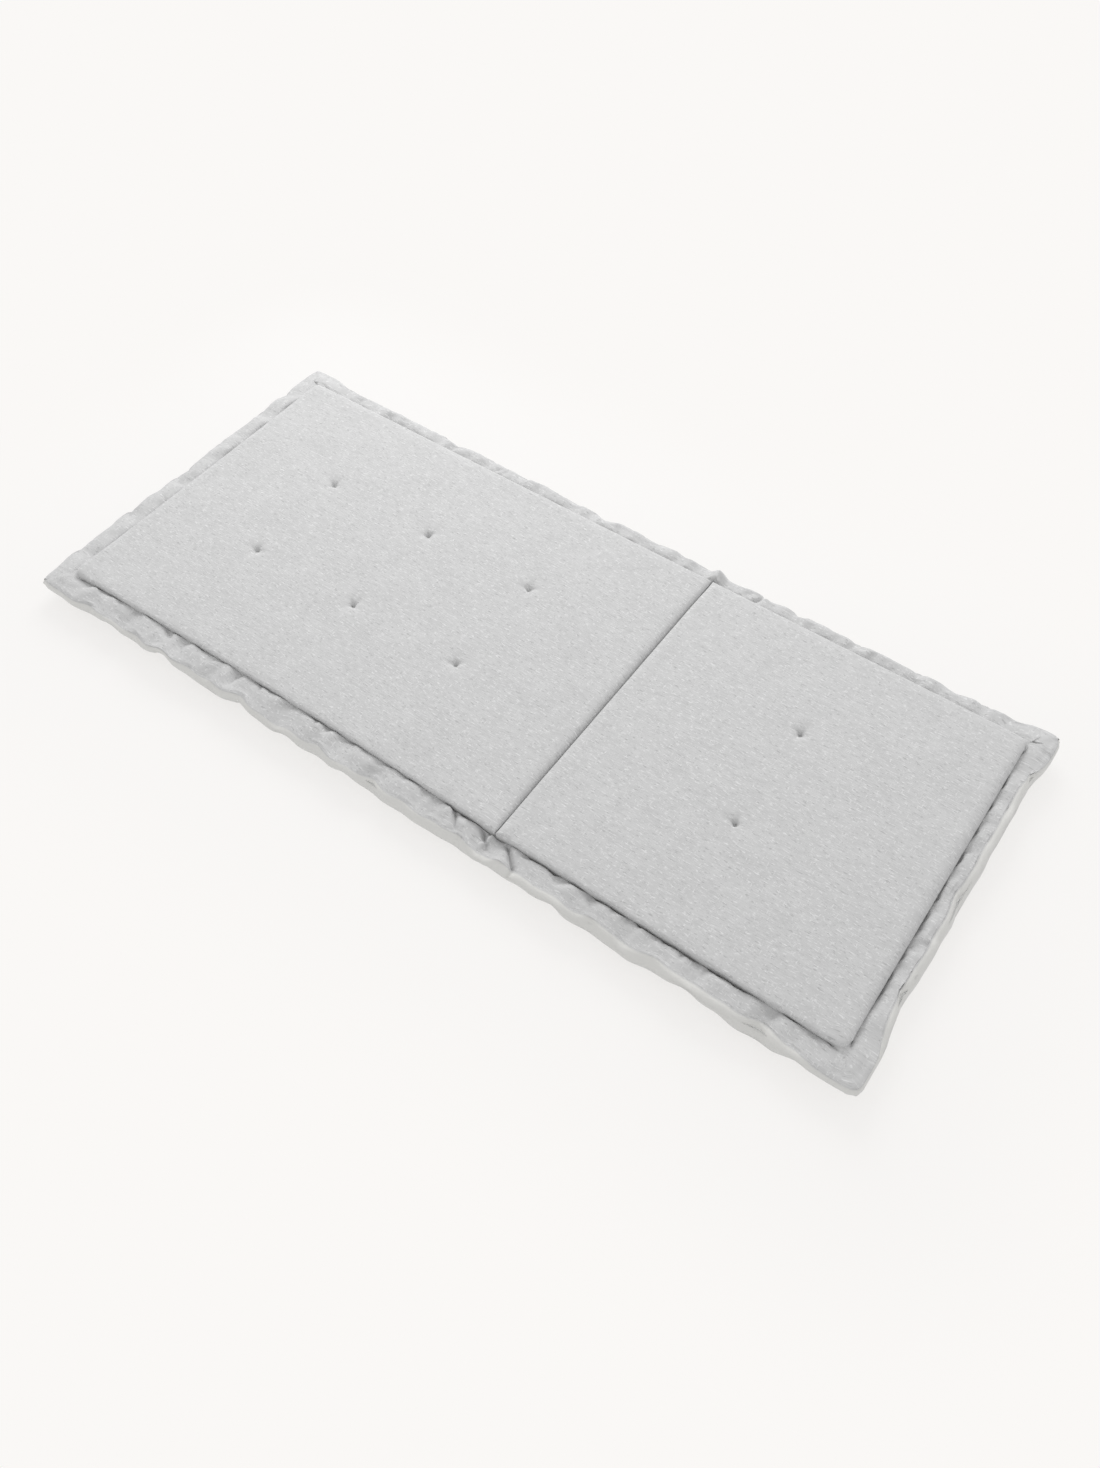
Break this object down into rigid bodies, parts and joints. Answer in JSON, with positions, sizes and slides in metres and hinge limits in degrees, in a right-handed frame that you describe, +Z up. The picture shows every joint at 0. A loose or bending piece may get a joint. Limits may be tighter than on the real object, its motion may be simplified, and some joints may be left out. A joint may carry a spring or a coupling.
{
  "type": "folding chair pad",
  "caption": "Flat foam pad in mottled grey fabric: a long back panel and a shorter seat panel joined by a sewn cross fold, tufted, with a soft flange all round.",
  "frame": {"origin": "middle of the pad's underside, as it lies flat", "axes": "+X along the pad from the back panel to the seat panel, +Y across it, +Z up out of the tufted top"},
  "size_m": [1.1114, 0.5076, 0.0442],
  "materials": {
    "cover_fabric": "woven, mottled light grey, matt",
    "wadding": "white polyester fibre wadding, matt",
    "foam": "cream polyurethane foam, matt",
    "sewing_thread": "grey polyester thread, slight sheen"
  },
  "bodies": {
    "seat_panel": {"seat_top_cover": "cover_fabric", "seat_bottom_cover": "cover_fabric", "seat_top_wadding": "wadding", "seat_bottom_wadding": "wadding", "seat_foam_core": "foam", "seat_needle_thread": "sewing_thread", "seat_bobbin_thread": "sewing_thread", "seat_tuft_1": "sewing_thread", "seat_tuft_2": "sewing_thread", "fold_web": "cover_fabric", "fold_needle_thread": "sewing_thread", "fold_bobbin_thread": "sewing_thread"},
    "back_panel": {"back_top_cover": "cover_fabric", "back_bottom_cover": "cover_fabric", "back_top_wadding": "wadding", "back_bottom_wadding": "wadding", "back_foam_core": "foam", "back_needle_thread": "sewing_thread", "back_bobbin_thread": "sewing_thread", "back_tuft_1": "sewing_thread", "back_tuft_2": "sewing_thread", "back_tuft_3": "sewing_thread", "back_tuft_4": "sewing_thread", "back_tuft_5": "sewing_thread", "back_tuft_6": "sewing_thread"}
  },
  "joints": [
    {"name": "centre_fold", "type": "hinge", "parent": "seat_panel", "child": "back_panel", "pos_m": [0.114, 0, 0.0412], "axis": [0, 1, 0], "range_deg": [0, 172], "deforming": ["fold_web"]}
  ]
}
